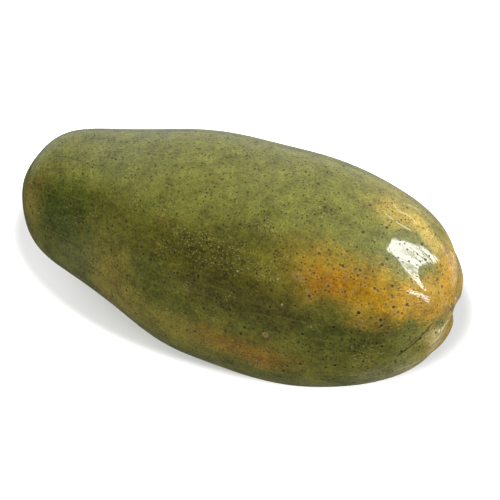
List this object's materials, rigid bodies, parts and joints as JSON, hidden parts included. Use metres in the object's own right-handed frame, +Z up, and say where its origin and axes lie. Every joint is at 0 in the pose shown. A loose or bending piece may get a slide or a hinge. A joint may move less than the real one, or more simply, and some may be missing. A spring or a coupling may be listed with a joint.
{
  "type": "papaya",
  "caption": "Whole ribbed papaya lying on its side, with a neck before the stem end, a hollow with a cut stalk stub, and a dimpled blossom end.",
  "frame": {"origin": "on the surface that the fruit rests on, under the middle of its bounding box", "axes": "+X along the fruit towards its blossom end, +Z up"},
  "size_m": [0.2874, 0.141, 0.1426],
  "materials": {
    "skin": "waxy fruit skin, olive green ripening to yellow, satin gloss"
  },
  "bodies": {
    "root": {"papaya": "skin"}
  },
  "joints": []
}
